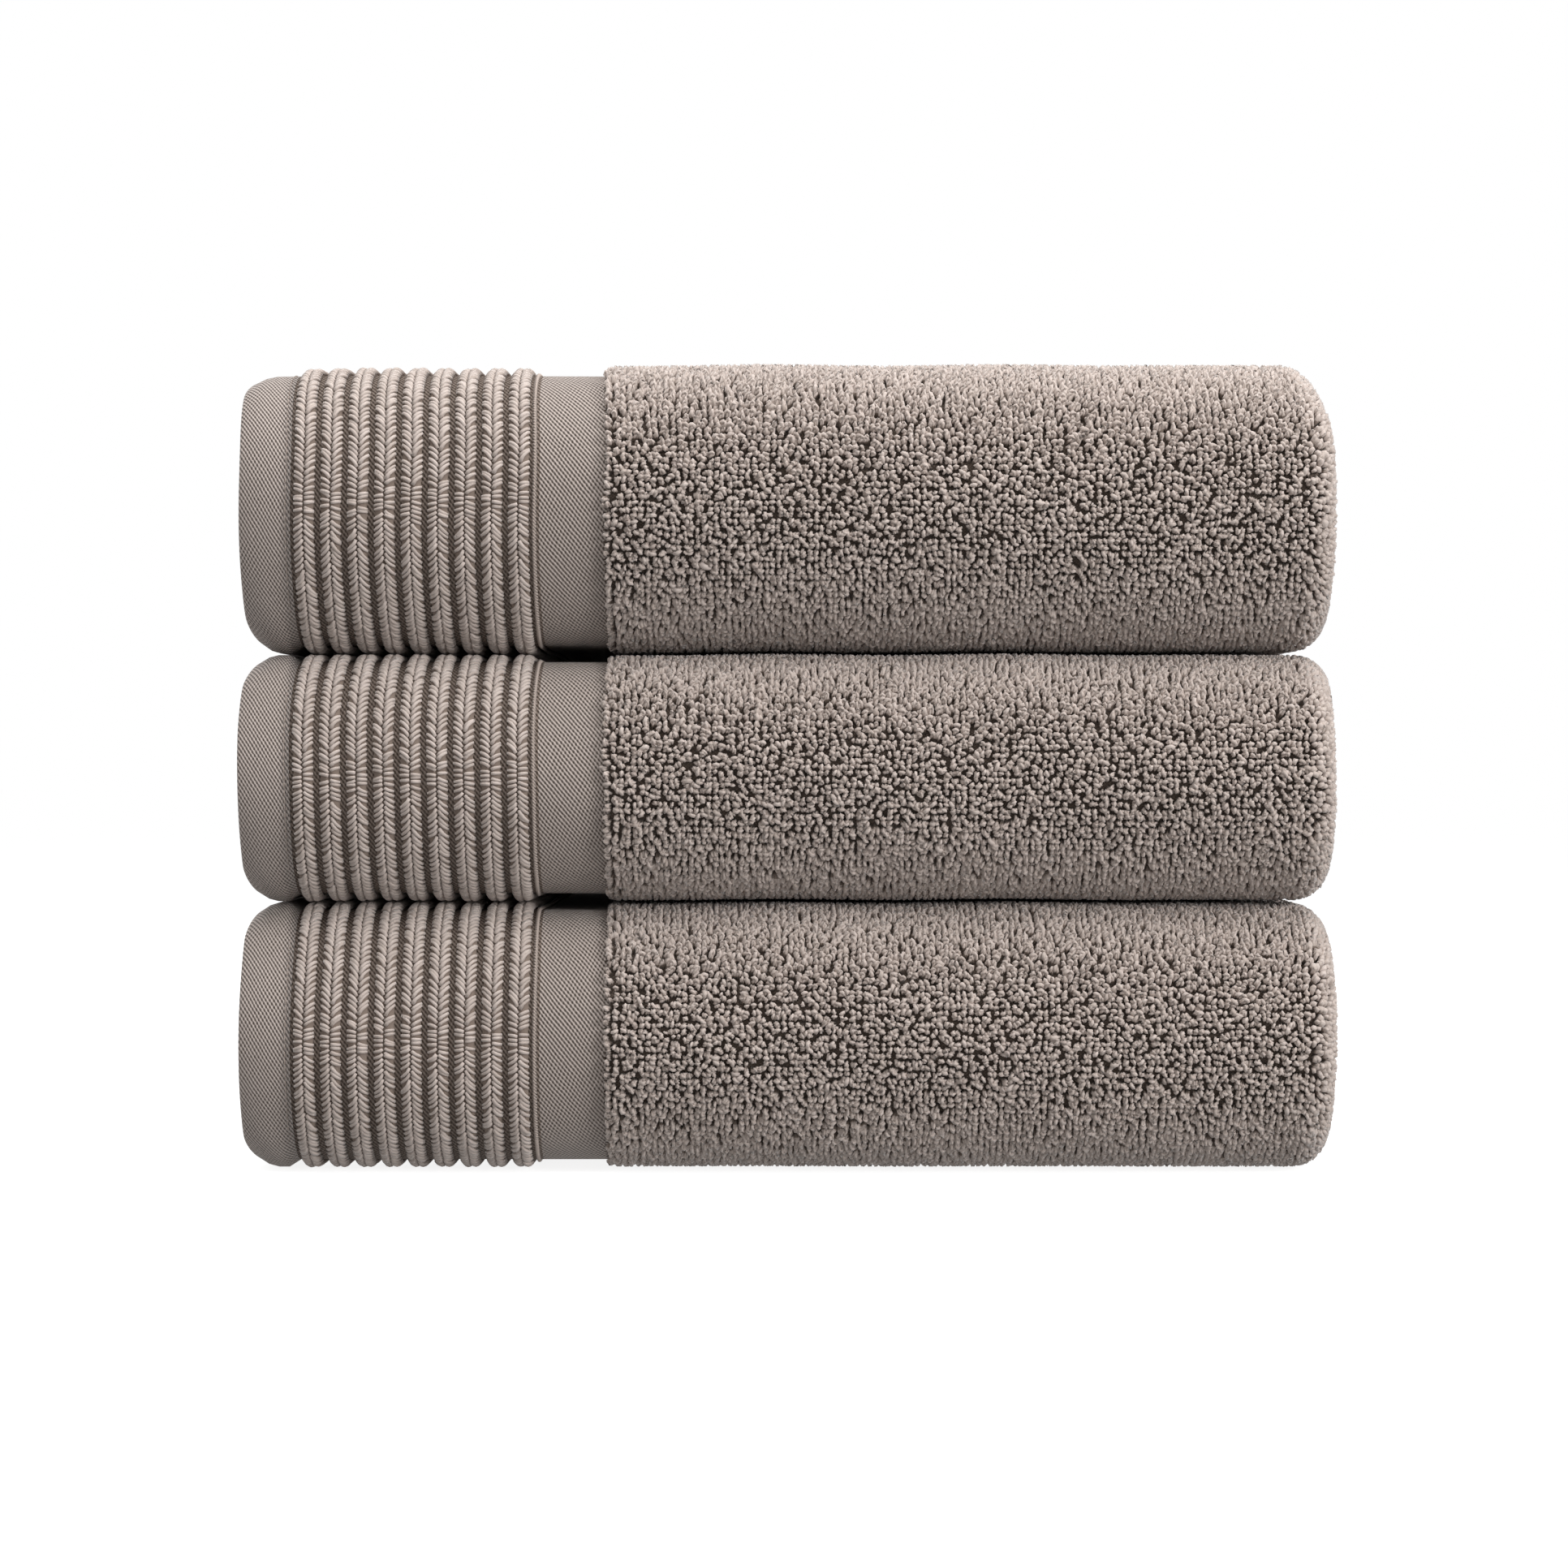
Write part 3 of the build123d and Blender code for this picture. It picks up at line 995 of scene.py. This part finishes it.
def make_floor():
    """A plain pale floor, wide enough that its edge is never seen."""
    bpy.ops.mesh.primitive_plane_add(size=120, location=(0, 0, -0.2 * MM))
    floor = bpy.context.object
    floor.name = "floor"
    floor.visible_diffuse = False
    material = bpy.data.materials.new("pale_floor")
    material.use_nodes = True
    shader = material.node_tree.nodes["Principled BSDF"]
    shader.inputs["Base Color"].default_value = (0.35, 0.35, 0.35, 1)
    shader.inputs["Roughness"].default_value = 0.9
    shader.inputs["Specular IOR Level"].default_value = 0.0
    shader.inputs["Emission Color"].default_value = (1, 1, 1, 1)
    shader.inputs["Emission Strength"].default_value = 0.85
    floor.data.materials.append(material)


def make_world():
    """White behind the object, dimmer above and below it, so that the light has a direction."""
    world = bpy.data.worlds.new("studio")
    bpy.context.scene.world = world
    world.use_nodes = True
    tree = world.node_tree
    place = tree.nodes.new("ShaderNodeTexCoord")
    split = tree.nodes.new("ShaderNodeSeparateXYZ")
    ramp = tree.nodes.new("ShaderNodeValToRGB")
    tree.links.new(place.outputs["Generated"], split.inputs[0])
    lift = tree.nodes.new("ShaderNodeMath")
    lift.operation = "MULTIPLY_ADD"
    lift.inputs[1].default_value = 0.5
    lift.inputs[2].default_value = 0.5
    tree.links.new(split.outputs["Z"], lift.inputs[0])
    tree.links.new(lift.outputs[0], ramp.inputs["Fac"])
    stops = ramp.color_ramp.elements
    stops.remove(stops[1])
    stops[0].position = 0.44  # 0.5 is the horizon, 1 straight up
    stops[0].color = (0.3, 0.3, 0.3, 1)
    for height, light in ((0.49, 1.0), (0.62, 1.0), (0.72, 0.35)):
        stops.new(height).color = (light, light, light, 1)
    tree.links.new(ramp.outputs["Color"], tree.nodes["Background"].inputs["Color"])
    tree.nodes["Background"].inputs["Strength"].default_value = 1.0


def area_light(name, place, target, size, power):
    light = bpy.data.lights.new(name, "AREA")
    light.shape = "RECTANGLE"
    light.size, light.size_y = size
    light.energy = power
    lamp = bpy.data.objects.new(name, light)
    lamp.location = place
    direction = Vector(np.array(target) - np.array(place))
    lamp.rotation_euler = direction.to_track_quat("-Z", "Y").to_euler()
    bpy.context.scene.collection.objects.link(lamp)


def make_lights():
    """A soft main light overhead, a weaker one from the right and one from behind."""
    area_light("overhead", (0.0, -0.35, 1.5), (0, 0, 0.12), (1.6, 1.2), 24)
    area_light("right_fill", (1.4, -1.0, 0.6), (0.05, 0, 0.13), (0.6, 0.8), 19)
    area_light("back_fill", (-1.0, 1.5, 0.7), (0, 0, 0.13), (0.9, 0.9), 14)


def make_camera():
    """Level with the stack, square to its rounded front, 1.1 m away from it."""
    low, high = cad_box
    distance = 1.1
    view_width = 0.501
    to_right, below_middle = 0.5 * MM, 6.2 * MM
    camera = bpy.data.cameras.new("camera")
    camera.sensor_width = 36
    camera.lens = camera.sensor_width * distance / view_width
    camera.clip_end = 50
    holder = bpy.data.objects.new("camera", camera)
    height = (low[2] + high[2]) / 2 - below_middle
    holder.location = (to_right, low[1] - distance, height)
    holder.rotation_euler = (math.pi / 2, 0, 0)
    bpy.context.scene.collection.objects.link(holder)
    bpy.context.scene.camera = holder


bpy.context.scene.view_settings.view_transform = "Standard"
make_camera()
for towel_name in TOWELS:
    make_towel(towel_name)
make_floor()
make_world()
make_lights()
